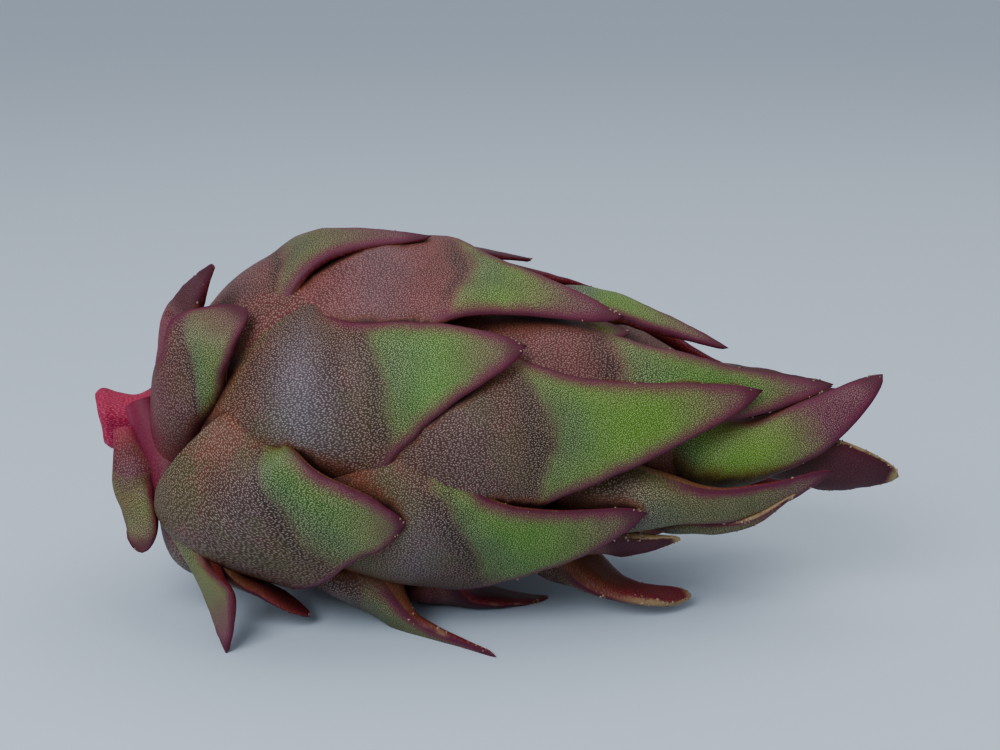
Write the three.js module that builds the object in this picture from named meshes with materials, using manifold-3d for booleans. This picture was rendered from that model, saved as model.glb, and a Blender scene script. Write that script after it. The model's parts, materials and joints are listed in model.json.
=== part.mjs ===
import * as THREE from 'three';
import { mergeVertices } from 'three/addons/utils/BufferGeometryUtils.js';
import Module from 'manifold-3d';

// A dragon fruit lying on its side: an egg of flesh along X, stem end at -X and tip at +X, with
// leafy scales fused into it. Millimetres and degrees, +Z up.
//
// A place on the fruit is [x, turn, reach]: how far along the fruit, the angle round it from the
// top towards -Y, and the distance from the fruit's long axis.

const flesh = {
  stemX: -71,
  widestX: -33,
  tipX: 62,
  radius: 35,
  axisHeight: 39,
  axisSlope: -0.035,
  stemDrop: 4,
  stemDropFrom: -44,
  stemDropOver: 24,
  tipDrop: 3,
  tipDropFrom: 6,
  tipDropOver: 40,
  rings: 12,
  sides: 20,
};

// The stem knob's outline, [x, radius], from inside the flesh out to the cut end.
const knob = {
  outline: [[-62, 12], [-66, 9.4], [-70, 6.6], [-73.6, 5], [-77, 5.4], [-79.6, 6.3], [-81.2, 5.2]],
  height: 37.2,
  slant: 0.2,
  narrowness: 0.92,
  sides: 12,
};

// How a scale's half width, its swelling and its thickness run from its root (0) to its tip (1).
const scaleShape = {
  widthAlong: [[0, 0.7], [0.12, 0.92], [0.28, 1], [0.4, 0.93], [0.5, 0.72], [0.58, 0.58], [0.66, 0.47],
    [0.75, 0.37], [0.86, 0.245], [0.94, 0.14], [1, 0]],
  domeAt: 0.27,
  domeLength: 0.15,
  leafThickness: 3,
  tipThinning: 0.72,
  rings: 9,
  facets: 6,
};

// What a scale has unless its own line says otherwise: swelling of its dome, how far its edges
// drop into the flesh, how thick its root is, how much the free leaf keeps the fruit's roundness,
// how much wider and blunter the leaf is, and how far it is twisted. Its half width above its
// path and below it is then scaled at its shoulder, its waist and its blade, and free tells how
// far along it each of these two edges comes free of the flesh.
const usualScale = {
  dome: 2.4,
  drop: 3,
  root: 5,
  cup: 0.7,
  leaf: 1,
  blunt: 0,
  twist: 0,
  above: [1, 1, 1],
  below: [1, 1, 1],
  free: [0.47, 0.47],
};

// Each scale: the places of its root, its dome, the middle of its leaf and its tip, its half
// width, and its differences from the usual scale. They stand in whorls from the stem to the tip.
const stemWhorl = [
  scale([-67.2, 45.6, 15], [-63.6, 38.2, 26.1], [-58.6, 32.6, 33.5], [-53.7, 30.4, 39.8], 5.4,
    { dome: 0.5, cup: 0.8, blunt: 0.2, above: [1, 1.08, 1.33], below: [1, 0.96, 1.19],
      free: [0.2, 0.2] }),
  scale([-62.6, 119.9, 19.3], [-57.8, 72.2, 28.4], [-53.3, 53.8, 35.8], [-47.2, 40.2, 34.8], 9.3,
    { dome: 1.5, cup: 0.8, blunt: 0.45, above: [1.17, 1.08, 1.61], below: [0.65, 0.59, 0.75],
      free: [0.3, 0.2] }),
  scale([-75.8, 98, 11.9], [-73.9, 119.2, 21], [-70.6, 130.8, 28], [-69.7, 136.4, 33.2], 4.3,
    { dome: 1, drop: 1.5, cup: 1.2, blunt: 0.9, above: [2.4, 1.1, 1.01], below: [0.74, 1.01, 1.08],
      free: [0.42, 0.2] }),
  scale([-71, 69.4, 13], [-61.6, 129.3, 29.6], [-55.2, 136.5, 43.5], [-52, 139, 52.7], 6.2,
    { dome: 1.5, cup: 0.6, leaf: 1.25, above: [1, 0.41, 2], below: [1, 0.8, 0.84], free: [0.2, 0.2] }),
  scale([-70, 150, 18], [-63, 150, 33], [-47, 150, 39], [-37, 149.5, 43], 12.5,
    { dome: 1, root: 10, cup: 0.1, blunt: 0.3, twist: 20 }),
  scale([-71, -165, 14], [-64, -162, 32], [-55, -156, 39], [-44, -150, 45.8], 12,
    { dome: 1.5, root: 7, cup: 0.6 }),
  scale([-71, -120, 12], [-65, -115, 27], [-57, -112, 35], [-46, -108, 40], 11, { dome: 1.5 }),
  scale([-71, -80, 10], [-65, -77, 22], [-57, -74, 31], [-47, -70, 39], 11.5, { dome: 1.5 }),
  scale([-70, -35, 9], [-64, -34, 17], [-56, -33, 25], [-46, -32, 33.5], 11, { dome: 1, cup: 0.8 }),
];

const broadWhorl = [
  scale([-64.8, 34.3, 12.5], [-49.1, 20.3, 29.2], [-34.1, 16, 39.3], [-12.2, 12.3, 40.1], 18.5,
    { dome: 1.6, cup: 1, below: [1, 0.73, 0.71], free: [0.47, 0.2] }),
  scale([-58, 67, 25], [-33.8, 68.5, 37.3], [-12.7, 58.4, 39], [6.3, 53.4, 38.7], 20.9,
    { dome: 3, above: [1.2, 0.79, 0.84], below: [0.9, 1, 1.13], free: [0.42, 0.42] }),
  scale([-55.8, 83, 31.3], [-44.5, 100.5, 38.2], [-25, 103.8, 42], [-16.4, 104.1, 40.9], 17.8,
    { root: 2, above: [0.64, 0.71, 0.77], below: [1.45, 1.7, 1.05], free: [0, 0.47] }),
  scale([-49, 140, 29.5], [-29.1, 142, 39.4], [-13.7, 144.5, 46.8], [0.6, 135.4, 52.7], 10.5,
    { dome: 1.2, root: 8, cup: 0.5, leaf: 0.65, twist: -30, above: [0.43, 0.68, 1.04],
      below: [1.07, 1.15, 0.74], free: [0.25, 0.45] }),
  scale([-54, -172, 27], [-38, -170, 38.4], [-22, -167, 40.4], [-6, -163, 39.6], 17,
    { dome: 1, root: 9, cup: 0.8 }),
  scale([-58, -128, 26], [-42, -124, 37], [-24, -122, 40], [-4, -118, 41.5], 20),
  scale([-54, -82, 28], [-38, -82, 37], [-18, -80, 40], [2, -78, 42], 20),
  scale([-58, -42, 23], [-42, -42, 34.5], [-24, -43, 39], [-4, -45, 40], 19, { dome: 2.5 }),
];

const middleWhorl = [
  scale([-36, -14, 30], [-20, -13, 35], [-6, -10, 35.2], [8, -8, 33], 16, { dome: 1.5, cup: 0.8 }),
  scale([-45, 38, 31.6], [-20.8, 27.6, 38], [-0.5, 27.2, 38.6], [25.5, 35.6, 32.5], 18.7,
    { dome: 2.5, cup: 0.8, above: [0.9, 1.28, 0.62], below: [1, 1.02, 1.27], free: [0.45, 0.45] }),
  scale([-36, 89.6, 33.5], [-2.5, 82.6, 36.3], [23.1, 74.6, 32.9], [52.6, 57, 23.9], 20.1,
    { cup: 0.6, above: [1, 0.94, 0.9], below: [1, 0.88, 1.04], free: [0.42, 0.45] }),
  scale([-33, 111, 36.5], [-12.8, 115.2, 38.6], [9, 116.1, 36.4], [29.6, 106.4, 32.5], 19.8,
    { dome: 2, root: 3, above: [0.9, 0.8, 0.91], below: [1.05, 1.09, 0.98], free: [0, 0.4] }),
  scale([-28, 168, 33], [-15, 168, 38.6], [-1, 169, 39.6], [12, 171, 38.5], 18,
    { dome: 1, root: 9, cup: 0.6 }),
  scale([-24, -140, 32], [-8, -144, 36], [8, -146, 38], [24, -148, 43.5], 18, { dome: 2, cup: 0.6 }),
  scale([-22, -104, 33], [-4, -102, 37], [16, -99, 37], [36, -94, 35], 19),
  scale([-22, -60, 33], [-4, -60, 36], [16, -58, 34.5], [38, -56, 29], 19),
  scale([-26, -27, 31], [-10, -26, 34], [8, -25, 31], [26, -24, 26.5], 16, { dome: 1.5 }),
];

const slenderWhorl = [
  scale([0, 16.7, 27], [17, 15, 29.7], [31, 19, 26.6], [47, 28.9, 21.5], 8.8,
    { dome: 0.4, cup: 0.8, above: [1, 0.9, 0.8], below: [1, 0.62, 1], free: [0.4, 0.45] }),
  scale([4, 38, 27], [12, 38, 30.3], [19.5, 38, 30], [26.5, 37, 29], 8.5, { dome: 0.5, cup: 0.8 }),
  scale([-13.9, 56.3, 30.5], [14.3, 57.3, 33.2], [43.4, 60.8, 25.3], [68.3, 39.3, 14.8], 13.6,
    { dome: 1, cup: 0.6, above: [1.4, 0.88, 1.22], below: [1, 0.95, 0.84], free: [0.47, 0.5] }),
  scale([7, 114, 29.8], [30, 112.3, 30.3], [50.3, 112.6, 26.1], [67.5, 99.5, 19.6], 7.7,
    { dome: 1, cup: 0.5, above: [1.2, 0.95, 1.3], below: [1.05, 0.55, 1.04], free: [0.3, 0.4] }),
  scale([4.5, 172, 28], [13.1, 164, 33.6], [28.7, 154.9, 36.9], [40.8, 160.8, 35.8], 8.2,
    { dome: 0.5, cup: 0.3, blunt: 0.75, twist: 50, above: [1.19, 0.78, 0.51], below: [1.22, 1.33, 0.66],
      free: [0.4, 0.3] }),
  scale([6, 135, 28], [18, 133, 30], [28, 130, 30.5], [37, 126, 29.2], 8, { dome: 0.5, cup: 0.5 }),
  scale([10, -165, 28], [24, -160, 28], [38, -155, 27], [50, -150, 25], 12, { dome: 1, cup: 0.5 }),
  scale([10, -125, 29], [26, -124, 32], [44, -122, 31], [62, -120, 33], 14.5, { dome: 2, cup: 0.6 }),
  scale([12, -82, 29], [29, -85, 30.5], [48, -88, 25.5], [66, -88, 20.5], 14, { dome: 2, cup: 0.6 }),
  scale([8, -38, 28], [24, -41, 26], [42, -43, 16], [56, -44, 10], 13, { dome: 1, cup: 0.6 }),
];

const tipWhorl = [
  scale([28, 132.8, 21.9], [36, 133, 25.2], [49.7, 121.5, 27], [59.8, 109.3, 22.8], 5,
    { dome: 0.5, cup: 0.5, blunt: 0.2, above: [0.94, 0.49, 0.47], below: [1.01, 0.73, 0.52],
      free: [0.3, 0.4] }),
  scale([27, 104, 16], [45.7, 96.2, 20.5], [61.7, 74.8, 19.1], [78.3, 32.5, 16.9], 9.5,
    { dome: 1, drop: 1, cup: 0.9, blunt: 0.35, above: [0.98, 0.83, 0.94], below: [0.87, 0.79, 1.05],
      free: [0.35, 0.35] }),
  scale([36, 24, 13], [48, 29, 15.2], [58, 32.5, 14.4], [68.8, 35, 14], 6, { dome: 0.5 }),
  scale([42, 117.6, 8], [54.1, 112.7, 11.7], [67.8, 105.7, 15.6], [81.9, 115.1, 14.4], 8.8,
    { dome: 0.5, drop: 1, cup: 1, blunt: 0.5, above: [1, 1.01, 0.98], below: [1, 0.96, 1.26],
      free: [0.2, 0.3] }),
  scale([38, -24, 13], [50, -26, 12], [62, -24, 9], [74, -20, 8], 7, { dome: 0.5, leaf: 1.2 }),
  scale([38, -70, 17], [50, -80, 18], [63, -87, 16.5], [76, -88, 16], 9.5, { dome: 0.5, leaf: 1.3 }),
  scale([36, -125, 18], [48, -128, 21], [60, -130, 22], [73, -128, 25], 10,
    { dome: 0.5, cup: 0.6, leaf: 1.2 }),
  scale([36, -175, 16], [46, -172, 17], [56, -168, 15], [66, -160, 12], 7,
    { dome: 0.5, cup: 0.5, leaf: 1.1 }),
];

const peel = { color: 0x6b5b50, roughness: 0.5, metalness: 0 };

function scale(root, dome, middle, tip, width, changes = {}) {
  return { ...usualScale, places: [root, dome, middle, tip], width, ...changes };
}

function easeBetween(low, high, value) {
  const u = Math.min(1, Math.max(0, (value - low) / (high - low)));
  return u * u * (3 - 2 * u);
}

function axisHeight(x) {
  return flesh.axisHeight + flesh.axisSlope * (x - flesh.widestX);
}

function fleshCentre(x) {
  const stemDrop = flesh.stemDrop * easeBetween(0, 1, (flesh.stemDropFrom - x) / flesh.stemDropOver);
  const tipDrop = flesh.tipDrop * easeBetween(0, 1, (x - flesh.tipDropFrom) / flesh.tipDropOver);
  return axisHeight(x) - stemDrop - tipDrop;
}

// The flesh is full near the stem and runs to a slim end at the tip.
function fleshRadius(x) {
  if (x < flesh.widestX) {
    const u = (flesh.widestX - x) / (flesh.widestX - flesh.stemX);
    return flesh.radius * Math.max(0, 1 - u ** 1.8) ** 0.6;
  }
  const u = (x - flesh.widestX) / (flesh.tipX - flesh.widestX);
  return flesh.radius * Math.max(0, 1 - u ** 1.8) ** 0.77;
}

function placeToPoint([x, turn, reach]) {
  const angle = THREE.MathUtils.degToRad(turn);
  return new THREE.Vector3(x, -reach * Math.sin(angle), axisHeight(x) + reach * Math.cos(angle));
}

// A smooth curve through [place, value] pairs, read at one place.
function readCurve(pairs, place) {
  const last = pairs.length - 1;
  let i = 0;
  while (i < last - 1 && place > pairs[i + 1][0]) i += 1;
  const slope = (k) => {
    const before = pairs[Math.max(0, k - 1)];
    const after = pairs[Math.min(last, k + 1)];
    return (after[1] - before[1]) / (after[0] - before[0]);
  };
  const span = pairs[i + 1][0] - pairs[i][0];
  const u = (place - pairs[i][0]) / span;
  return (2 * u ** 3 - 3 * u ** 2 + 1) * pairs[i][1] + (u ** 3 - 2 * u ** 2 + u) * span * slope(i)
    + (3 * u ** 2 - 2 * u ** 3) * pairs[i + 1][1] + (u ** 3 - u ** 2) * span * slope(i + 1);
}

// A smooth path through evenly spaced points, straight on past both ends.
function readPath(points, along) {
  const last = points.length - 1;
  const beyond = (end, inner) => end.clone().multiplyScalar(2).sub(inner);
  const all = [beyond(points[0], points[1]), ...points, beyond(points[last], points[last - 1])];
  const f = Math.min(1, Math.max(0, along)) * last;
  const i = Math.min(Math.floor(f), last - 1);
  const u = f - i;
  const weights = [-u + 2 * u ** 2 - u ** 3, 2 - 5 * u ** 2 + 3 * u ** 3,
    u + 4 * u ** 2 - 3 * u ** 3, -(u ** 2) + u ** 3];
  const point = new THREE.Vector3();
  weights.forEach((weight, k) => point.addScaledVector(all[i + k], weight / 2));
  return point;
}

// A closed surface from rings of equal length, closed by a point before the first ring and one
// after the last. Both faces of a thin leaf are split alike, so that they stay apart.
function closedSurface(rings, firstPoint, lastPoint, splitsBack = () => false) {
  const sides = rings[0].length;
  const points = [...rings.flat(), firstPoint, lastPoint];
  const triangles = [];
  const first = points.length - 2;
  const final = points.length - 1;
  for (let i = 0; i < rings.length - 1; i += 1) {
    for (let j = 0; j < sides; j += 1) {
      const next = (j + 1) % sides;
      const [a, b] = [i * sides + j, i * sides + next];
      const [c, d] = [b + sides, a + sides];
      triangles.push(...(splitsBack(j) ? [a, d, b, b, d, c] : [a, d, c, a, c, b]));
    }
  }
  const lastRing = (rings.length - 1) * sides;
  for (let j = 0; j < sides; j += 1) {
    const next = (j + 1) % sides;
    triangles.push(first, j, next, final, lastRing + next, lastRing + j);
  }
  const geometry = new THREE.BufferGeometry();
  geometry.setAttribute('position', new THREE.Float32BufferAttribute(points.flatMap((p) => p.toArray()), 3));
  geometry.setIndex(triangles);
  return geometry;
}

function fleshSurface() {
  const rings = [];
  for (let i = 1; i < flesh.rings; i += 1) {
    const x = flesh.stemX + (flesh.tipX - flesh.stemX) * (1 - Math.cos(Math.PI * i / flesh.rings)) / 2;
    const radius = fleshRadius(x);
    rings.push(Array.from({ length: flesh.sides }, (_, j) => {
      const angle = 2 * Math.PI * j / flesh.sides;
      return new THREE.Vector3(x, -radius * Math.sin(angle), fleshCentre(x) + radius * Math.cos(angle));
    }));
  }
  const end = (x) => new THREE.Vector3(x, 0, fleshCentre(x));
  return closedSurface(rings.reverse(), end(flesh.tipX), end(flesh.stemX));
}

function knobSurface() {
  const rings = knob.outline.map(([x, radius]) => Array.from({ length: knob.sides }, (_, j) => {
    const angle = 2 * Math.PI * j / knob.sides;
    const rise = radius * Math.cos(angle);
    const across = -radius * knob.narrowness * Math.sin(angle);
    return new THREE.Vector3(x - knob.slant * rise, across, knob.height + rise);
  }));
  const end = (place) => new THREE.Vector3(place[0], 0, knob.height);
  return closedSurface(rings, end(knob.outline[0]), end(knob.outline.at(-1)));
}

// The half width of a scale at a place along it, as a share of its greatest half width.
function widthShare(form, along) {
  const usual = readCurve(scaleShape.widthAlong, along)
    * (1 + (form.leaf - 1) * easeBetween(0.4, 0.66, along));
  const round = along > 0.45
    ? Math.sqrt(Math.max(0, 1 - ((along - 0.45) / 0.55) ** 2))
    : 0.55 + 0.45 * easeBetween(0, 0.45, along);
  return usual * (1 - form.blunt) + round * form.blunt;
}

// How much wider than plain one side of a scale is at a place along it.
function sideShare([shoulder, waist, blade], along) {
  const narrowed = shoulder + (waist - shoulder) * easeBetween(0.2, 0.45, along);
  return narrowed + (blade - waist) * easeBetween(0.45, 0.72, along);
}

// One cross-section of a scale: over its outer face from edge to edge, then back underneath.
function scaleRing(form, path, along) {
  const centre = readPath(path, along);
  const forward = readPath(path, along + 0.01).sub(readPath(path, along - 0.01)).normalize();
  const outward = new THREE.Vector3(0, centre.y, centre.z - axisHeight(centre.x));
  const reach = outward.length();
  outward.normalize().addScaledVector(forward, -outward.dot(forward)).normalize();
  outward.applyAxisAngle(forward, THREE.MathUtils.degToRad(form.twist) * easeBetween(0.3, 1, along));
  const across = forward.clone().cross(outward);

  const plainWidth = form.width * widthShare(form, along);
  const shares = [sideShare(form.above, along), sideShare(form.below, along)];
  const bend = (1 + (form.cup - 1) * easeBetween(0.35, 0.6, along)) / Math.max(reach, 12);
  const drops = form.free.map((free) => form.drop * (1 - easeBetween(free - 0.11, free + 0.11, along)));
  const swelling = form.dome * Math.exp(-(((along - scaleShape.domeAt) / scaleShape.domeLength) ** 2));
  const rooted = form.root * (1 - easeBetween(0.35, 0.62, along));
  const thinned = 1 - scaleShape.tipThinning * easeBetween(0.6, 1, along);
  const meanWidth = plainWidth * (shares[0] + shares[1]) / 2;
  const thickness = Math.min((scaleShape.leafThickness + rooted) * thinned, 1.6 * meanWidth);

  const outer = [];
  const inner = [];
  for (let j = 0; j <= scaleShape.facets; j += 1) {
    const t = Math.cos(Math.PI * j / scaleShape.facets);
    const side = t > 0 ? 1 : 0;
    const turn = bend * plainWidth * shares[side] * t;
    const fullness = Math.sqrt(Math.max(0, 1 - t ** 4));
    const rise = -(1 - Math.cos(turn)) / bend - drops[side] * Math.abs(t) ** 2.6
      + swelling * (1 - t * t) ** 1.2 - 0.35 * thickness * (1 - fullness);
    const edge = centre.clone().addScaledVector(across, Math.sin(turn) / bend);
    outer.push(edge.clone().addScaledVector(outward, rise));
    inner.push(edge.addScaledVector(outward, rise - thickness * fullness));
  }
  return [...outer, ...inner.slice(1, -1).reverse()];
}

function scaleSurface(form) {
  const path = form.places.map(placeToPoint);
  const rings = [];
  for (let i = 0; i < scaleShape.rings; i += 1) rings.push(scaleRing(form, path, i / scaleShape.rings));
  return closedSurface(rings, path[0], path.at(-1), (j) => j >= scaleShape.facets);
}

const wasm = await Module();
wasm.setup();

function toSolid(surface) {
  const geometry = surface.clone();
  geometry.deleteAttribute('normal');
  geometry.deleteAttribute('uv');
  const merged = mergeVertices(geometry);
  return new wasm.Manifold(new wasm.Mesh({
    numProp: 3,
    vertProperties: Float32Array.from(merged.attributes.position.array),
    triVerts: Uint32Array.from(merged.index.array),
  }));
}

// The outer surface of a fused solid alone: pockets sealed between scales are filled. Triangles
// belong together where they share an edge.
function outerSurface(solid) {
  const { vertProperties, triVerts } = solid.getMesh();
  const count = triVerts.length / 3;
  const owner = Array.from({ length: count }, (_, i) => i);
  const find = (start) => {
    let k = start;
    while (owner[k] !== k) k = owner[k];
    owner[start] = k;
    return k;
  };
  const edges = new Map();
  for (let i = 0; i < triVerts.length; i += 1) {
    const triangle = Math.floor(i / 3);
    const from = triVerts[i];
    const to = triVerts[3 * triangle + (i + 1) % 3];
    const key = Math.min(from, to) * triVerts.length + Math.max(from, to);
    if (edges.has(key)) owner[find(triangle)] = find(edges.get(key));
    else edges.set(key, triangle);
  }
  const sizes = new Map();
  for (let i = 0; i < count; i += 1) sizes.set(find(i), (sizes.get(find(i)) ?? 0) + 1);
  const [largest] = [...sizes].sort((one, other) => other[1] - one[1])[0];
  const geometry = new THREE.BufferGeometry();
  geometry.setAttribute('position', new THREE.BufferAttribute(vertProperties, 3));
  geometry.setIndex([...triVerts].filter((_, i) => find(Math.floor(i / 3)) === largest));
  return mergeVertices(geometry.toNonIndexed());
}

const scales = [...stemWhorl, ...broadWhorl, ...middleWhorl, ...slenderWhorl, ...tipWhorl];
let fruit = toSolid(fleshSurface()).add(toSolid(knobSurface()));
for (const form of scales) fruit = fruit.add(toSolid(scaleSurface(form)));

// What would reach below the surface that the fruit lies on is flattened against it.
const groundDepth = 20;
const ground = new THREE.BoxGeometry(400, 400, groundDepth).translate(0, 0, -groundDepth / 2);
fruit = fruit.subtract(toSolid(ground));

const fruitSurface = outerSurface(fruit);
fruitSurface.computeBoundingBox();
const middle = fruitSurface.boundingBox.getCenter(new THREE.Vector3());
fruitSurface.translate(-middle.x, -middle.y, -fruitSurface.boundingBox.min.z);
fruitSurface.computeVertexNormals();

const fruitMesh = new THREE.Mesh(fruitSurface, new THREE.MeshStandardMaterial(peel));
fruitMesh.name = 'dragon_fruit';

const part = new THREE.Group();
part.add(fruitMesh);

export default part;
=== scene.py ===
import json
import math
import bmesh
import bpy
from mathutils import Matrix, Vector
from mathutils.bvhtree import BVHTree

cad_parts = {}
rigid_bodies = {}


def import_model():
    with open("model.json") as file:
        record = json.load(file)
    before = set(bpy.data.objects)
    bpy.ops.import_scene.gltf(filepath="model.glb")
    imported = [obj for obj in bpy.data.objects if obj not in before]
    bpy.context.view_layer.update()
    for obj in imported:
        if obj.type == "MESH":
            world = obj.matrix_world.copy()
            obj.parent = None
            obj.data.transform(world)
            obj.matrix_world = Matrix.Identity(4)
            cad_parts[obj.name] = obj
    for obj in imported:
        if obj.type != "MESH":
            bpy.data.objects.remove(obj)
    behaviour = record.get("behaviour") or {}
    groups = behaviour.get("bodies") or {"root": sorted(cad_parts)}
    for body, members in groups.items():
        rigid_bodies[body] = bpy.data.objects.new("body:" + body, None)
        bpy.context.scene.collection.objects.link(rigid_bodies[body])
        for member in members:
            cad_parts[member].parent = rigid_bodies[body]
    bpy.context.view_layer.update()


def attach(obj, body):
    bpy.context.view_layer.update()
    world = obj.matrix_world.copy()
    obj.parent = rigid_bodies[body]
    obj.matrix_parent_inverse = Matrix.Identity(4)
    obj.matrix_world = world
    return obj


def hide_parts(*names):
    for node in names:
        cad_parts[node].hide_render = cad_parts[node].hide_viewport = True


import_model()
mm = 0.001

# A place on the fruit is (x, turn, reach): millimetres along the fruit, degrees round it from the
# top towards -Y, and millimetres out from its long axis. The flesh under the scales hangs a little
# below that axis at both ends.
flesh = {"stemX": -71, "widestX": -33, "tipX": 62, "radius": 35, "roundness": 1.8, "stemBluntness": 0.6,
         "tipBluntness": 0.77, "axisHeight": 39, "axisSlope": -0.035, "stemDrop": 4, "stemDropFrom": -44,
         "stemDropOver": 24, "tipDrop": 3, "tipDropFrom": 6, "tipDropOver": 40, "rings": 60, "sides": 80}


def ease(low, high, value):
    u = min(1, max(0, (value - low) / (high - low)))
    return u * u * (3 - 2 * u)


def axisHeight(x):
    return flesh["axisHeight"] + flesh["axisSlope"] * (x - flesh["widestX"])


def fleshCentre(x):
    stemDrop = flesh["stemDrop"] * ease(0, 1, (flesh["stemDropFrom"] - x) / flesh["stemDropOver"])
    tipDrop = flesh["tipDrop"] * ease(0, 1, (x - flesh["tipDropFrom"]) / flesh["tipDropOver"])
    return axisHeight(x) - stemDrop - tipDrop


def fleshRadius(x):
    end, bluntness = ("stemX", "stemBluntness") if x < flesh["widestX"] else ("tipX", "tipBluntness")
    u = (x - flesh["widestX"]) / (flesh[end] - flesh["widestX"])
    return flesh["radius"] * max(0, 1 - u ** flesh["roundness"]) ** flesh[bluntness]


def placeToPoint(place):
    x, turn, reach = place
    angle = math.radians(turn)
    return Vector((x, -reach * math.sin(angle), axisHeight(x) + reach * math.cos(angle)))


class Field:
    # a number in a node tree that can be added, multiplied and so on
    def __init__(self, tree, socket):
        self.tree = tree
        self.socket = socket

    def math(self, operation, *others):
        node = self.tree.nodes.new("ShaderNodeMath")
        node.operation = operation
        for slot, value in enumerate((self,) + others):
            feed(self.tree, node.inputs[slot], value)
        return Field(self.tree, node.outputs[0])

    def __add__(self, other):
        return self.math("ADD", other)

    def __sub__(self, other):
        return self.math("SUBTRACT", other)

    def __rsub__(self, other):
        return (-self).math("ADD", other)

    def __mul__(self, other):
        return self.math("MULTIPLY", other)

    def __truediv__(self, other):
        return self.math("DIVIDE", other)

    def __pow__(self, other):
        return self.math("POWER", other)

    def __neg__(self):
        return self.math("MULTIPLY", -1)

    __radd__ = __add__
    __rmul__ = __mul__

    def ease(self, low, high, start=0, end=1, shape="SMOOTHSTEP"):
        # start below low, end above high, and in between a smooth change
        node = self.tree.nodes.new("ShaderNodeMapRange")
        node.interpolation_type = shape
        for slot, value in enumerate((self, low, high, start, end)):
            feed(self.tree, node.inputs[slot], value)
        return Field(self.tree, node.outputs[0])

    def bell(self, middle, spread):
        # 1 at middle, falling away smoothly on both sides of it
        distance = (self - middle) / spread
        return (-(distance * distance)).math("EXPONENT")


class Arrow:
    # a vector in a node tree
    def __init__(self, tree, socket):
        self.tree = tree
        self.socket = socket

    def math(self, operation, *others, out=0):
        node = self.tree.nodes.new("ShaderNodeVectorMath")
        node.operation = operation
        for slot, value in enumerate((self,) + others):
            feed(self.tree, node.inputs[slot], value)
        return node.outputs[out]

    def __add__(self, other):
        return Arrow(self.tree, self.math("ADD", other))

    def __sub__(self, other):
        return Arrow(self.tree, self.math("SUBTRACT", other))

    def times(self, factor):
        node = self.tree.nodes.new("ShaderNodeVectorMath")
        node.operation = "SCALE"
        feed(self.tree, node.inputs[0], self)
        feed(self.tree, node.inputs["Scale"], factor)
        return Arrow(self.tree, node.outputs[0])

    def cross(self, other):
        return Arrow(self.tree, self.math("CROSS_PRODUCT", other))

    def dot(self, other):
        return Field(self.tree, self.math("DOT_PRODUCT", other, out=1))

    def unit(self):
        return Arrow(self.tree, self.math("NORMALIZE"))

    def length(self):
        return Field(self.tree, self.math("LENGTH", out=1))

    def parts(self):
        node = self.tree.nodes.new("ShaderNodeSeparateXYZ")
        feed(self.tree, node.inputs[0], self)
        return [Field(self.tree, out) for out in node.outputs]


def feed(tree, socket, value):
    if isinstance(value, (Field, Arrow)):
        tree.links.new(value.socket, socket)
    else:
        socket.default_value = value


def joinParts(tree, x, y, z):
    node = tree.nodes.new("ShaderNodeCombineXYZ")
    for slot, value in enumerate((x, y, z)):
        feed(tree, node.inputs[slot], value)
    return Arrow(tree, node.outputs[0])


def noiseField(tree, where, size, detail=2):
    node = tree.nodes.new("ShaderNodeTexNoise")
    node.inputs["Scale"].default_value = 1 / size
    node.inputs["Detail"].default_value = detail
    tree.links.new(where.socket, node.inputs["Vector"])
    return Field(tree, node.outputs[0])


def addInputs(tree, kind, *names):
    for name in names:
        tree.interface.new_socket(name=name, in_out="INPUT", socket_type="NodeSocket" + kind)


def setInputs(modifier, values):
    for item in modifier.node_group.interface.items_tree:
        if item.item_type == "SOCKET" and item.in_out == "INPUT" and item.name in values:
            modifier[item.identifier] = values[item.name]


def finishTree(tree, shape, material):
    realize = tree.nodes.new("GeometryNodeRealizeInstances")
    tree.links.new(shape, realize.inputs["Geometry"])
    finish = tree.nodes.new("GeometryNodeSetMaterial")
    tree.links.new(realize.outputs[0], finish.inputs["Geometry"])
    tree.links.new(material, finish.inputs["Material"])
    tree.links.new(finish.outputs[0], tree.nodes.new("NodeGroupOutput").inputs[0])


def evaluatedMesh(piece):
    return bpy.data.meshes.new_from_object(piece.evaluated_get(bpy.context.evaluated_depsgraph_get()))


def addObject(name, data, collection=None):
    piece = bpy.data.objects.new(name, data)
    (collection or bpy.context.scene.collection).objects.link(piece)
    return piece


# What a scale has unless its own line says otherwise. Its form, in millimetres and shares: Dome is
# how far it swells, Drop how deep its sides sink, Root how much thicker its base is, Cup how much
# its leaf keeps the curve of the fruit, Leaf how broad the leaf is, Blunt how round its tip is, Twist
# its turn in degrees, Above and Below each side's share of the width at the shoulder, the waist and
# the blade, Free where each side leaves the fruit, and Dent the crease behind the dome. Its colours:
# Start is where its leaf begins, Lean how that line slants, Bloom and sheen how violet the crest of
# the dome is painted, partly its wax bloom and partly a painted sheen, and Green, Flush and Dry how
# green, how red and how dried up it is.
usualScale = {"Dome": 2.4, "Drop": 3, "Root": 5, "Cup": 0.7, "Leaf": 1, "Blunt": 0, "Twist": 0,
              "Above": (1, 1, 1), "Below": (1, 1, 1), "Free": (0.47, 0.47), "Dent": 0.3,
              "Start": 0.44, "Lean": 0, "Bloom": 0.3, "Green": 0.5, "Flush": 0.4, "Dry": 0}


def scale(root, dome, middle, tip, width, **changes):
    return {**usualScale, "places": (root, dome, middle, tip), "Width": width, **changes}


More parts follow.
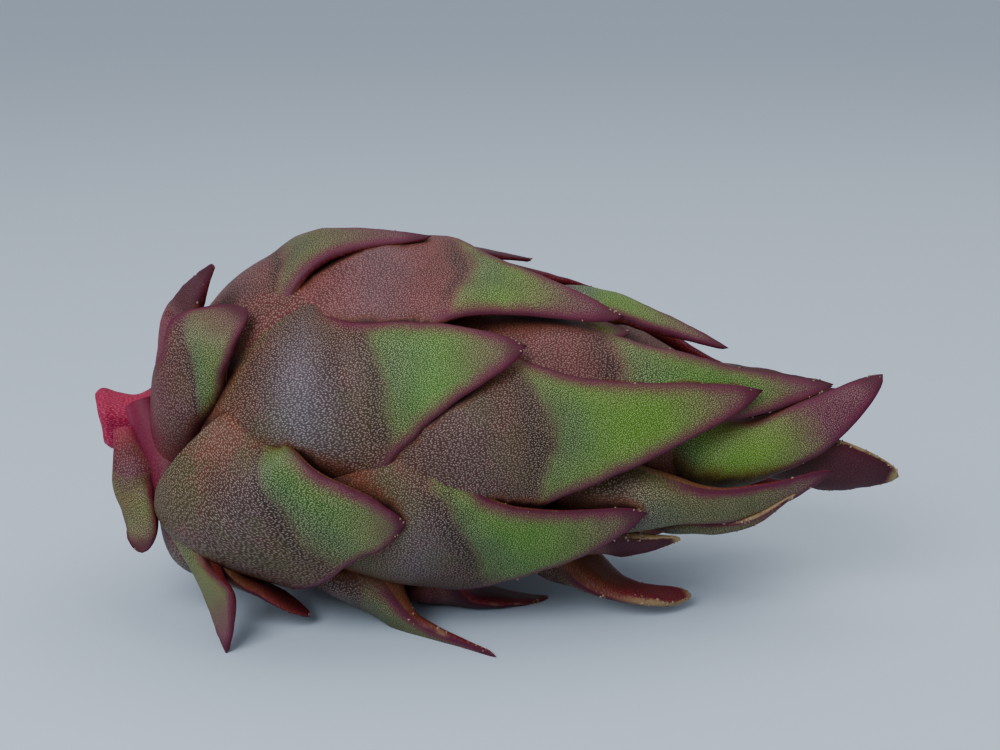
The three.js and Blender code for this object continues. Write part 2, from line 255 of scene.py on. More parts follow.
# each whorl grows further from the stem than the one before it
stemWhorl = [
    scale((-67.2, 45.6, 15), (-63.6, 38.2, 26.1), (-58.6, 32.6, 33.5), (-53.7, 30.4, 39.8), 5.4,
          Dome=0.5, Cup=0.8, Blunt=0.2, Above=(1, 1.08, 1.33), Below=(1, 0.96, 1.19), Free=(0.2, 0.2),
          Green=0.14, Flush=0.9, Dry=0.15),
    scale((-62.6, 119.9, 19.3), (-57.8, 72.2, 28.4), (-53.3, 53.8, 35.8), (-47.2, 40.2, 34.8), 9.3,
          Dome=1.5, Cup=0.8, Blunt=0.45, Above=(1.17, 1.08, 1.61), Below=(0.65, 0.59, 0.75),
          Free=(0.3, 0.2), Start=0.45, Lean=-0.35, Bloom=0.1, Green=0.52, Flush=0.45),
    scale((-75.8, 98, 11.9), (-73.9, 119.2, 21), (-70.6, 130.8, 28), (-69.7, 136.4, 33.2), 4.3, Dome=1,
          Drop=1.5, Cup=1.2, Blunt=0.9, Above=(2.4, 1.1, 1.01), Below=(0.74, 1.01, 1.08),
          Free=(0.42, 0.2), Start=0.3, Lean=-0.1, Green=0.75, Flush=0.3),
    scale((-71, 69.4, 13), (-61.6, 129.3, 29.6), (-55.2, 136.5, 43.5), (-52, 139, 52.7), 6.2, Dome=1.5,
          Cup=0.6, Leaf=1.25, Above=(1, 0.41, 2), Below=(1, 0.8, 0.84), Free=(0.2, 0.2), Start=0.22,
          Green=0.42, Flush=0.8, Dry=0.05),
    scale((-70, 150, 18), (-63, 150, 33), (-47, 150, 39), (-37, 149.5, 43), 12.5, Dome=1, Root=10,
          Cup=0.1, Blunt=0.3, Twist=20, Green=0.3, Flush=0.3),
    scale((-71, -165, 14), (-64, -162, 32), (-55, -156, 39), (-44, -150, 45.8), 12, Dome=1.5, Root=7,
          Cup=0.6),
    scale((-71, -120, 12), (-65, -115, 27), (-57, -112, 35), (-46, -108, 40), 11, Dome=1.5, Green=0.6),
    scale((-71, -80, 10), (-65, -77, 22), (-57, -74, 31), (-47, -70, 39), 11.5, Dome=1.5, Flush=0.5),
    scale((-70, -35, 9), (-64, -34, 17), (-56, -33, 25), (-46, -32, 33.5), 11, Dome=1, Cup=0.8,
          Green=0.6),
]
broadWhorl = [
    scale((-64.8, 34.3, 12.5), (-49.1, 20.3, 29.2), (-34.1, 16, 39.3), (-12.2, 12.3, 40.1), 18.5,
          Dome=1.6, Cup=1, Below=(1, 0.73, 0.71), Free=(0.47, 0.2), Start=0.5, Bloom=0.25, Green=0.28,
          Flush=0.6),
    scale((-58, 67, 25), (-33.8, 68.5, 37.3), (-12.7, 58.4, 39), (6.3, 53.4, 38.7), 20.9, Dome=3,
          Above=(1.2, 0.79, 0.84), Below=(0.9, 1, 1.13), Free=(0.42, 0.42), Dent=1.1, Start=0.54,
          Lean=-0.02, Bloom=0.9, Green=0.74, Flush=0.3),
    scale((-55.8, 83, 31.3), (-44.5, 100.5, 38.2), (-25, 103.8, 42), (-16.4, 104.1, 40.9), 17.8, Root=2,
          Above=(0.64, 0.71, 0.77), Below=(1.45, 1.7, 1.05), Free=(0, 0.47), Start=0.43, Lean=0.24,
          Bloom=0.25, Green=0.55, Flush=0.2),
    scale((-49, 140, 29.5), (-29.1, 142, 39.4), (-13.7, 144.5, 46.8), (0.6, 135.4, 52.7), 10.5,
          Dome=1.2, Root=8, Cup=0.5, Leaf=0.65, Twist=-30, Above=(0.43, 0.68, 1.04),
          Below=(1.07, 1.15, 0.74), Free=(0.25, 0.45), Start=0.4, Green=0.35, Dry=0.3),
    scale((-54, -172, 27), (-38, -170, 38.4), (-22, -167, 40.4), (-6, -163, 39.6), 17, Dome=1, Root=9,
          Cup=0.8, Green=0.4, Flush=0.5, Dry=0.3),
    scale((-58, -128, 26), (-42, -124, 37), (-24, -122, 40), (-4, -118, 41.5), 20, Green=0.65),
    scale((-54, -82, 28), (-38, -82, 37), (-18, -80, 40), (2, -78, 42), 20, Green=0.75, Flush=0.35),
    scale((-58, -42, 23), (-42, -42, 34.5), (-24, -43, 39), (-4, -45, 40), 19, Dome=2.5, Green=0.55,
          Flush=0.5),
]
middleWhorl = [
    scale((-36, -14, 30), (-20, -13, 35), (-6, -10, 35.2), (8, -8, 33), 16, Dome=1.5, Cup=0.8,
          Green=0.1, Flush=0.9),
    scale((-45, 38, 31.6), (-20.8, 27.6, 38), (-0.5, 27.2, 38.6), (25.5, 35.6, 32.5), 18.7, Dome=2.5,
          Cup=0.8, Above=(0.9, 1.28, 0.62), Below=(1, 1.02, 1.27), Free=(0.45, 0.45), Start=0.6,
          Bloom=0.5, Green=0.92, Flush=0.68),
    scale((-36, 89.6, 33.5), (-2.5, 82.6, 36.3), (23.1, 74.6, 32.9), (52.6, 57, 23.9), 20.1, Cup=0.6,
          Above=(1, 0.94, 0.9), Below=(1, 0.88, 1.04), Free=(0.42, 0.45), Start=0.5, Bloom=0.2,
          Green=0.9, Flush=0.42, Dry=0.1),
    scale((-33, 111, 36.5), (-12.8, 115.2, 38.6), (9, 116.1, 36.4), (29.6, 106.4, 32.5), 19.8, Dome=2,
          Root=3, Above=(0.9, 0.8, 0.91), Below=(1.05, 1.09, 0.98), Free=(0, 0.4), Start=0.47,
          Lean=0.12, Bloom=0.45, Green=0.8, Flush=0.3, Dry=0.2),
    # this scale lies in the shadow under the belly: no green and full flush paint it wine-dark as painted
    # shade
    scale((-28, 168, 33), (-15, 168, 38.6), (-1, 169, 39.6), (12, 171, 38.5), 18, Dome=1, Root=9,
          Cup=0.6, Green=0, Flush=1, Dry=0.2),
    scale((-24, -140, 32), (-8, -144, 36), (8, -146, 38), (24, -148, 43.5), 18, Dome=2, Cup=0.6,
          Flush=0.5, Dry=0.3),
    scale((-22, -104, 33), (-4, -102, 37), (16, -99, 37), (36, -94, 35), 19, Green=0.75),
    scale((-22, -60, 33), (-4, -60, 36), (16, -58, 34.5), (38, -56, 29), 19, Green=0.85, Flush=0.45),
    scale((-26, -27, 31), (-10, -26, 34), (8, -25, 31), (26, -24, 26.5), 16, Dome=1.5, Green=0.6,
          Flush=0.6),
]
slenderWhorl = [
    scale((0, 16.7, 27), (17, 15, 29.7), (31, 19, 26.6), (47, 28.9, 21.5), 8.8, Dome=0.4, Cup=0.8,
          Above=(1, 0.9, 0.8), Below=(1, 0.62, 1), Free=(0.4, 0.45), Start=0.3, Bloom=0.6, Green=0.8,
          Flush=0.5),
    scale((4, 38, 27), (12, 38, 30.3), (19.5, 38, 30), (26.5, 37, 29), 8.5, Dome=0.5, Cup=0.8,
          Start=0.1, Green=0.9, Flush=-0.3),
    scale((-13.9, 56.3, 30.5), (14.3, 57.3, 33.2), (43.4, 60.8, 25.3), (68.3, 39.3, 14.8), 13.6, Dome=1,
          Cup=0.6, Above=(1.4, 0.88, 1.22), Below=(1, 0.95, 0.84), Free=(0.47, 0.5), Bloom=0,
          Green=0.72, Flush=0.64, Dry=0.05),
    scale((7, 114, 29.8), (30, 112.3, 30.3), (50.3, 112.6, 26.1), (67.5, 99.5, 19.6), 7.7, Dome=1,
          Cup=0.5, Above=(1.2, 0.95, 1.3), Below=(1.05, 0.55, 1.04), Free=(0.3, 0.4), Start=0.3,
          Green=0.3, Dry=0.05),
    scale((4.5, 172, 28), (13.1, 164, 33.6), (28.7, 154.9, 36.9), (40.8, 160.8, 35.8), 8.2, Dome=0.5,
          Cup=0.3, Blunt=0.75, Twist=50, Above=(1.19, 0.78, 0.51), Below=(1.22, 1.33, 0.66),
          Free=(0.4, 0.3), Green=0.35, Flush=0.5, Dry=0.7),
    scale((6, 135, 28), (18, 133, 30), (28, 130, 30.5), (37, 126, 29.2), 8, Dome=0.5, Cup=0.5, Green=0,
          Flush=1, Dry=0.7),
    scale((10, -165, 28), (24, -160, 28), (38, -155, 27), (50, -150, 25), 12, Dome=1, Cup=0.5,
          Flush=0.5),
    scale((10, -125, 29), (26, -124, 32), (44, -122, 31), (62, -120, 33), 14.5, Dome=2, Cup=0.6,
          Start=0.38, Green=0.8),
    scale((12, -82, 29), (29, -85, 30.5), (48, -88, 25.5), (66, -88, 20.5), 14, Dome=2, Cup=0.6,
          Green=0.7, Flush=0.5),
    scale((8, -38, 28), (24, -41, 26), (42, -43, 16), (56, -44, 10), 13, Dome=1, Cup=0.6, Green=0.6,
          Flush=0.6),
]
tipWhorl = [
    scale((28, 132.8, 21.9), (36, 133, 25.2), (49.7, 121.5, 27), (59.8, 109.3, 22.8), 5, Dome=0.5,
          Cup=0.5, Blunt=0.2, Above=(0.94, 0.49, 0.47), Below=(1.01, 0.73, 0.52), Free=(0.3, 0.4),
          Start=0.3, Green=0.3, Flush=0, Dry=0.6),
    scale((27, 104, 16), (45.7, 96.2, 20.5), (61.7, 74.8, 19.1), (78.3, 32.5, 16.9), 9.5, Dome=1,
          Drop=1, Cup=0.9, Blunt=0.35, Above=(0.98, 0.83, 0.94), Below=(0.87, 0.79, 1.05),
          Free=(0.35, 0.35), Start=0.12, Green=1, Flush=1.4, Dry=0.12),
    scale((36, 24, 13), (48, 29, 15.2), (58, 32.5, 14.4), (68.8, 35, 14), 6, Dome=0.5, Start=0.3,
          Green=0.1, Flush=0.9),
    scale((42, 117.6, 8), (54.1, 112.7, 11.7), (67.8, 105.7, 15.6), (81.9, 115.1, 14.4), 8.8, Dome=0.5,
          Drop=1, Cup=1, Blunt=0.5, Above=(1, 1.01, 0.98), Below=(1, 0.96, 1.26), Free=(0.2, 0.3),
          Start=0.3, Green=0.1, Flush=1, Dry=0.6),
    scale((38, -24, 13), (50, -26, 12), (62, -24, 9), (74, -20, 8), 7, Dome=0.5, Leaf=1.2, Start=0.3,
          Green=0.7, Flush=0.6),
    scale((38, -70, 17), (50, -80, 18), (63, -87, 16.5), (76, -88, 16), 9.5, Dome=0.5, Leaf=1.3,
          Start=0.2, Green=0.9, Flush=0.3),
    scale((36, -125, 18), (48, -128, 21), (60, -130, 22), (73, -128, 25), 10, Dome=0.5, Cup=0.6,
          Leaf=1.2, Start=0.3, Flush=0.5, Dry=0.3),
    scale((36, -175, 16), (46, -172, 17), (56, -168, 15), (66, -160, 12), 7, Dome=0.5, Cup=0.5,
          Leaf=1.1, Start=0.3, Green=0.6, Flush=0.5),
]

# What all scales share, in millimetres and in shares of a scale's length from its root. A name that
# ends in Over gives the stretch in which that form sets in or fades away.
scaleForm = {"rings": 52, "facets": 18, "leafThickness": 3, "tipThinning": 0.72, "narrowThickness": 1.6,
             "domeAt": 0.27, "domeLength": 0.15, "dentAt": 0.43, "dentLength": 0.045, "dentBow": 0.05,
             "freeSpread": 0.11, "tightestBend": 12, "bluntAt": 0.45, "bluntRoot": 0.55,
             "waistOver": (0.2, 0.45), "bladeOver": (0.45, 0.72), "leafOver": (0.4, 0.66),
             "cupOver": (0.35, 0.6), "rootOver": (0.35, 0.62), "thinOver": (0.6, 1), "twistOver": (0.3, 1),
             "raggedOver": (0.42, 0.55), "waveOver": (0.88, 1), "unevenOver": (0.9, 1),
             "raggedness": 0.05, "lobes": 14, "waves": 0.4, "unevenness": 0.25, "unevenSize": 1 / 0.12,
             "weldGap": 0.002, "widthAlong": (
                 (0, 0.7), (0.12, 0.92), (0.28, 1), (0.4, 0.93), (0.5, 0.72), (0.58, 0.58),
                 (0.66, 0.47), (0.75, 0.37), (0.86, 0.245), (0.94, 0.14), (1, 0))}
placeInputs = ("Root Place", "Dome Place", "Middle Place", "Tip Place")
sideInputs = ("Above", "Below", "Free")
plainInputs = ("Width", "Dome", "Drop", "Root", "Cup", "Leaf", "Blunt", "Twist", "Dent", "Start",
               "Lean", "Bloom", "Green", "Flush", "Dry", "Number")


def pathPoint(tree, places, along):
    # a smooth path through four evenly spaced places, as if it went straight on past both ends
    beyondRoot = places[0].times(2) - places[1]
    beyondTip = places[3].times(2) - places[2]
    stops = [beyondRoot, *places, beyondTip]
    f = along.math("MAXIMUM", 0).math("MINIMUM", 1) * 3
    stretch = f.math("MINIMUM", 2).math("FLOOR")
    u = f - stretch
    u2 = u * u
    u3 = u2 * u
    weights = (2 * u2 - u - u3, 2 - 5 * u2 + 3 * u3, u + 4 * u2 - 3 * u3, u3 - u2)
    point = None
    for k, weight in enumerate(weights):
        pick = tree.nodes.new("GeometryNodeIndexSwitch")
        pick.data_type = "VECTOR"
        pick.index_switch_items.new()
        tree.links.new(stretch.socket, pick.inputs[0])
        for i in range(3):
            tree.links.new(stops[i + k].socket, pick.inputs[i + 1])
        step = Arrow(tree, pick.outputs[0]).times(weight * 0.5)
        point = step if point is None else point + step
    return point


def pointedWidth(tree, along):
    curve = tree.nodes.new("ShaderNodeFloatCurve")
    points = curve.mapping.curves[0].points
    for x, y in scaleForm["widthAlong"][1:-1]:
        points.new(x, y)
    points[0].location = scaleForm["widthAlong"][0]
    points[-1].location = scaleForm["widthAlong"][-1]
    curve.mapping.update()
    tree.links.new(along.socket, curve.inputs["Value"])
    return Field(tree, curve.outputs[0])


def storeMarks(tree, shape, marks):
    for name, mark in marks.items():
        store = tree.nodes.new("GeometryNodeStoreNamedAttribute")
        store.data_type = "FLOAT_VECTOR"
        store.domain = "CORNER"
        store.inputs["Name"].default_value = name
        tree.links.new(shape, store.inputs["Geometry"])
        tree.links.new(mark.socket, store.inputs["Value"])
        shape = store.outputs[0]
    return shape


def makeScaleTree():
    # bends a closed cylinder into one scale: its height runs along the scale, its round across it
    tree = bpy.data.node_groups.new("leafyScale", "GeometryNodeTree")
    tree.interface.new_socket(name="Scale", in_out="OUTPUT", socket_type="NodeSocketGeometry")
    addInputs(tree, "Vector", *placeInputs, *sideInputs)
    addInputs(tree, "Float", *plainInputs)
    addInputs(tree, "Material", "Peel")
    given = tree.nodes.new("NodeGroupInput").outputs
    places = [Arrow(tree, given[name]) for name in placeInputs]
    above, below, free = [Arrow(tree, given[name]) for name in sideInputs]
    value = {name: Field(tree, given[name]) for name in plainInputs}
    form = scaleForm

    # along is 0 at the root and 1 at the tip, t is -1 to 1 across, and ring is 1 everywhere but in
    # the middle of both ends
    cylinder = tree.nodes.new("GeometryNodeMeshCylinder")
    cylinder.fill_type = "TRIANGLE_FAN"
    cylinder.inputs["Vertices"].default_value = 2 * form["facets"]
    cylinder.inputs["Side Segments"].default_value = form["rings"]
    cylinder.inputs["Radius"].default_value = 1
    cylinder.inputs["Depth"].default_value = 1
    sheetX, sheetY, sheetZ = Arrow(tree, tree.nodes.new("GeometryNodeInputPosition").outputs[0]).parts()
    along = sheetZ + 0.5
    t = -sheetX
    edge = t.math("ABSOLUTE")
    ring = (sheetX * sheetX + sheetY * sheetY).math("SQRT")
    isBelow = t.math("GREATER_THAN", 0)

    # the way the scale runs, the way it faces and the way across it
    centre = pathPoint(tree, places, along)
    forward = (pathPoint(tree, places, along + 0.01) - pathPoint(tree, places, along - 0.01)).unit()
    centreX, centreY, centreZ = centre.parts()
    axis = centreX * flesh["axisSlope"] + (flesh["axisHeight"] - flesh["axisSlope"] * flesh["widestX"])
    spoke = joinParts(tree, 0, centreY, centreZ - axis)
    reach = spoke.length()
    straight = spoke.unit()
    outward = (straight - forward.times(straight.dot(forward))).unit()
    twist = value["Twist"] * math.radians(1) * along.ease(*form["twistOver"])
    outward = outward.times(twist.math("COSINE")) + forward.cross(outward).times(twist.math("SINE"))
    across = forward.cross(outward)

    # its width: a dome, a waist and a leaf with a pointed or a blunt tip and an uneven margin
    pointed = pointedWidth(tree, along) * (1 + (value["Leaf"] - 1) * along.ease(*form["leafOver"]))
    late = ((along - form["bluntAt"]) / (1 - form["bluntAt"])).math("MAXIMUM", 0)
    rounding = (1 - late * late).math("MAXIMUM", 0).math("SQRT")
    blunt = along.ease(0, form["bluntAt"], form["bluntRoot"], 1) * rounding
    plainWidth = value["Width"] * (pointed * (1 - value["Blunt"]) + blunt * value["Blunt"])
    shares = []
    for side in (above + (below - above).times(isBelow), (above + below).times(0.5)):
        shoulder, waist, blade = side.parts()
        shares.append(shoulder + (waist - shoulder) * along.ease(*form["waistOver"])
                      + (blade - waist) * along.ease(*form["bladeOver"]))
    sideShare, meanShare = shares
    lobe = joinParts(tree, along * form["lobes"], value["Number"] * 7.7 + isBelow * 3.1, 0)
    uneasy = (noiseField(tree, lobe, 1, 3) - 0.5) * along.ease(*form["raggedOver"])
    width = plainWidth * sideShare * (1 + uneasy * (2 * form["raggedness"]))
    wave = uneasy * (2 * form["waves"]) * edge ** 4 * along.ease(*form["waveOver"], 1, 0)

    # its rise: a domed base that sinks at its sides and a thin leaf that stands free
    cup = 1 + (value["Cup"] - 1) * along.ease(*form["cupOver"])
    bend = cup / reach.math("MAXIMUM", form["tightestBend"])
    turn = bend * width * t
    freeAbove, freeBelow, _ = free.parts()
    freeFrom = freeAbove + (freeBelow - freeAbove) * isBelow
    drop = value["Drop"] * along.ease(freeFrom - form["freeSpread"], freeFrom + form["freeSpread"], 1, 0)
    swelling = value["Dome"] * along.bell(form["domeAt"], form["domeLength"])
    rooted = value["Root"] * along.ease(*form["rootOver"], 1, 0)
    thinned = along.ease(*form["thinOver"], 1, 1 - form["tipThinning"])
    thickness = ((form["leafThickness"] + rooted) * thinned).math(
        "MINIMUM", plainWidth * meanShare * form["narrowThickness"])
    fullness = (1 - edge ** 4).math("MAXIMUM", 0).math("SQRT")
    shifted = centre + across.times(width * t) + joinParts(tree, value["Number"] * 37, 0, 0)
    uneven = (noiseField(tree, shifted, form["unevenSize"]) - 0.5) * (2 * form["unevenness"])
    uneven = uneven * along.ease(*form["unevenOver"], 1, 0)
    dent = (along - edge * edge * form["dentBow"]).bell(form["dentAt"], form["dentLength"])
    rise = (swelling * (1 - t * t).math("MAXIMUM", 0) ** 1.2 - (1 - turn.math("COSINE")) / bend
            - drop * edge ** 2.6 - thickness * 0.35 * (1 - fullness) + uneven + wave
            - value["Dent"] * dent * (1 - edge ** 3))
    beneath = sheetY.math("LESS_THAN", -0.0001)
    lift = rise - thickness * fullness * beneath
    spot = centre + (across.times(turn.math("SINE") / bend) + outward.times(lift)).times(ring)

    # what the peel's colours read
    under = tree.nodes.new("GeometryNodeFieldOnDomain")
    under.domain = "FACE"
    tree.links.new(sheetY.socket, under.inputs[0])
    underside = Field(tree, under.outputs[0]).math("LESS_THAN", 0)
    first, second, third = [(places[i + 1] - places[i]).length() for i in range(3)]
    pathLength = first + second + third
    shape = storeMarks(tree, cylinder.outputs["Mesh"], {
        "growth": joinParts(tree, width * t, along * pathLength, value["Number"]),
        "leaf": joinParts(tree, along, t, underside),
        "start": joinParts(tree, value["Start"] + value["Lean"] * t, value["Width"], value["Bloom"]),
        "tone": joinParts(tree, value["Green"], value["Flush"], value["Dry"]),
        "edgeDistance": joinParts(tree, width * (1 - edge), pathLength * (1 - along), width),
    })
    place = tree.nodes.new("GeometryNodeSetPosition")
    tree.links.new(shape, place.inputs["Geometry"])
    tree.links.new(spot.times(mm).socket, place.inputs["Position"])
    close = tree.nodes.new("GeometryNodeMergeByDistance")
    close.inputs["Distance"].default_value = form["weldGap"] * mm
    tree.links.new(place.outputs[0], close.inputs["Geometry"])
    smooth = tree.nodes.new("GeometryNodeSetShadeSmooth")
    tree.links.new(close.outputs[0], smooth.inputs["Geometry"])
    finishTree(tree, smooth.outputs[0], given["Peel"])
    return tree


def makeScaleMesh(tree, number, form, peel):
    holder = addObject("scale", bpy.data.meshes.new("scale"))
    modifier = holder.modifiers.new("leafyScale", "NODES")
    modifier.node_group = tree
    inputs = {name: float(form[name]) for name in plainInputs if name != "Number"}
    inputs.update({name: (*form[name], 0)[:3] for name in sideInputs})  # Free has only two numbers
    inputs.update({name: placeToPoint(place) for name, place in zip(placeInputs, form["places"])})
    setInputs(modifier, {**inputs, "Number": float(number), "Peel": peel})
    mesh = evaluatedMesh(holder)
    bpy.data.objects.remove(holder)
    return mesh


knob = {"outline": ((-62, 12), (-66, 9.4), (-70, 6.6), (-73.6, 5), (-77, 5.4), (-79.6, 6.3), (-81.2, 5.2)),
        "height": 37.2, "slant": 0.2, "narrowness": 0.92, "rings": 48, "sides": 56, "ribs": 5,
        "ribHeight": 0.35, "ribPhase": 0.7, "ribsFrom": -70, "ribsFull": -76, "endWave": 0.5,
        "wavePhase": 0.4, "waveFrom": -76, "waveFull": -82, "hollow": 1.2, "rimStep": 0.25,
        "endRings": (0.8, 0.55, 0.3)}
bareSkin = {"turnScale": 20, "leaf": (0.2, 0, 0), "start": (0.44, 15, 0), "tone": (0, 0.6, 0),
            "edgeDistance": (9, 30, 9)}
fleshNumber = -1  # scales are numbered from 0
knobNumber = -2


def readCurve(pairs, place):
    # a smooth curve through the pairs, read at a share of the way from the first to the last
    f = place * (len(pairs) - 1)
    i = min(int(f), len(pairs) - 2)
    u = f - i
    before = pairs[max(0, i - 1)]
    after = pairs[min(len(pairs) - 1, i + 2)]
    return [(2 * b + (c - a) * u + (2 * a - 5 * b + 4 * c - d) * u ** 2
             + (3 * b - a - 3 * c + d) * u ** 3) / 2
            for a, b, c, d in zip(before, pairs[i], pairs[i + 1], after)]


def makeTube(name, rings, firstPoint, lastPoint, number):
    # a closed surface from rings of points, with the same marks as a scale has
    sides = len(rings[0])
    points = [p for ring in rings for p in ring] + [firstPoint, lastPoint]
    last = len(rings) - 1
    faces = []
    for j in range(sides):
        k = (j + 1) % sides
        faces.append((len(points) - 2, k, j))
        faces.append((len(points) - 1, last * sides + j, last * sides + k))
        for i in range(last):
            faces.append((i * sides + j, i * sides + k, (i + 1) * sides + k, (i + 1) * sides + j))
    mesh = bpy.data.meshes.new(name)
    mesh.from_pydata([p * mm for p in points], [], faces)
    mesh.shade_smooth()
    growth = []
    for loop in mesh.loops:
        x, y, z = mesh.vertices[loop.vertex_index].co / mm
        growth += (bareSkin["turnScale"] * math.atan2(-y, z - axisHeight(x)), x, number)
    marks = {name: bareSkin[name] * len(mesh.loops) for name in ("leaf", "start", "tone", "edgeDistance")}
    for name, values in {"growth": growth, **marks}.items():
        mesh.attributes.new(name, "FLOAT_VECTOR", "CORNER").data.foreach_set("vector", values)
    return mesh


def makeFlesh():
    length = flesh["tipX"] - flesh["stemX"]
    rings = []
    for i in range(1, flesh["rings"]):
        x = flesh["stemX"] + length * (1 - math.cos(math.pi * i / flesh["rings"])) / 2
        radius = fleshRadius(x)
        angles = [2 * math.pi * j / flesh["sides"] for j in range(flesh["sides"])]
        rings.append([Vector((x, -radius * math.sin(a), fleshCentre(x) + radius * math.cos(a)))
                      for a in angles])
    ends = [Vector((x, 0, fleshCentre(x))) for x in (flesh["stemX"], flesh["tipX"])]
    return makeTube("flesh", rings, *ends, fleshNumber)


def makeKnob():
    rings = []
    for i in range(knob["rings"] + 1):
        x, radius = readCurve(knob["outline"], i / knob["rings"])
        ribbing = knob["ribHeight"] * ease(knob["ribsFrom"], knob["ribsFull"], x)
        waving = knob["endWave"] * ease(knob["waveFrom"], knob["waveFull"], x)
        ring = []
        for j in range(knob["sides"]):
            angle = 2 * math.pi * j / knob["sides"]
            ribbed = radius + ribbing * math.cos(knob["ribs"] * angle + knob["ribPhase"])
            rise = ribbed * math.cos(angle)
            across = -ribbed * knob["narrowness"] * math.sin(angle)
            wave = waving * math.cos(2 * angle + knob["wavePhase"])
            ring.append(Vector((x - knob["slant"] * rise - wave, across, knob["height"] + rise)))
        rings.append(ring)
    rings.reverse()
    rim = rings[0]
    middle = sum(rim, Vector()) / len(rim)
    for share in knob["endRings"]:
        inward = Vector((knob["hollow"] * (1 - share ** 2) - knob["rimStep"], 0, 0))
        rings.insert(0, [middle.lerp(p, share) + inward for p in rim])
    end = middle + Vector((knob["hollow"] - knob["rimStep"], 0, 0))
    root = Vector((knob["outline"][0][0], 0, knob["height"]))
    return makeTube("knob", rings, end, root, knobNumber)


peelLook = {
    "dome": "3c241c", "domeWarm": "62301e", "domeGreen": "40351a", "bloomAndSheen": "524a54",
    "valleyShade": "241c14", "tealAndHighlight": "2e402c", "green": "1c4e16", "vivid": "466804", "olive": "4c5224",
    "mauve": "4c2030", "margin": "581432", "tip": "420c22", "grooveTintAndShade": "603018", "shade": "240a0c",
    "inside": "5e0c18", "insideWarm": "604218", "crimson": "8e0c38", "dry": "8c7652",
    "wine": "360612", "flushed": "74323a", "stemFlush": "620f2e", "knobDots": "d8889a",
    "speckle": "ae9888", "leafSpeckle": "b0c47e", "flushSpeckle": "aa807c",
    "bloomAndSheenSpeckle": "b2aeb8", "roughness": 0.58, "gloss": 0.18, "coat": 0.04, "coatRoughness": 0.4,
    "bump": 0.25, "bumpDepth": 0.12, "crestAt": 0.32, "crestLength": 0.09, "valleyLength": 0.03,
    "longDash": (0.34, 0.52, 0.28), "shortDash": (0.27, 0.35, 0.3), "knobDot": (0.8, 0.9, 0.24),
    "marginShare": 0.24, "widestMargin": 3.6, "oliveFromSide": (1, 7), "oliveFromTip": (6, 26),
    "darkFromSide": (0.1, 0.8), "darkFromTip": (1.5, 7), "grooveShelter": (0.12, 0.42),
    "shadeShelter": (0.28, 0.6), "stemPlace": (-76, -3, 38), "crimsonReach": (6, 13),
    "stemFlushReach": (13, 38)}


def colour(code):
    parts = [int(code[i:i + 2], 16) / 255 for i in (0, 2, 4)]
    return (*[p / 12.92 if p < 0.04 else ((p + 0.055) / 1.055) ** 2.4 for p in parts], 1)


def mix(tree, below, above, share):
    node = tree.nodes.new("ShaderNodeMix")
    node.data_type = "RGBA"
    feed(tree, node.inputs[0], share)
    feed(tree, node.inputs[6], colour(below) if isinstance(below, str) else below)
    feed(tree, node.inputs[7], colour(above) if isinstance(above, str) else above)
    return Arrow(tree, node.outputs[2])


def readMark(tree, name):
    node = tree.nodes.new("ShaderNodeAttribute")
    node.attribute_name = name
    return Arrow(tree, node.outputs["Vector"])


def dashes(tree, across, along, dash):
    # small scattered dashes: up to 1 in the middle of a dash, each of its own strength, 0 between them
    wide, long, size = dash
    node = tree.nodes.new("ShaderNodeTexVoronoi")
    node.voronoi_dimensions = "2D"
    node.inputs["Scale"].default_value = 1
    node.inputs["Randomness"].default_value = 0.85
    tree.links.new(joinParts(tree, across / wide, along / long, 0).socket, node.inputs["Vector"])
    strength = Arrow(tree, node.outputs["Color"]).parts()[0]
    nearness = Field(tree, node.outputs["Distance"]).ease(size * 0.45, size * 1.35, 1, 0)
    return nearness * (0.6 + strength * 0.4)


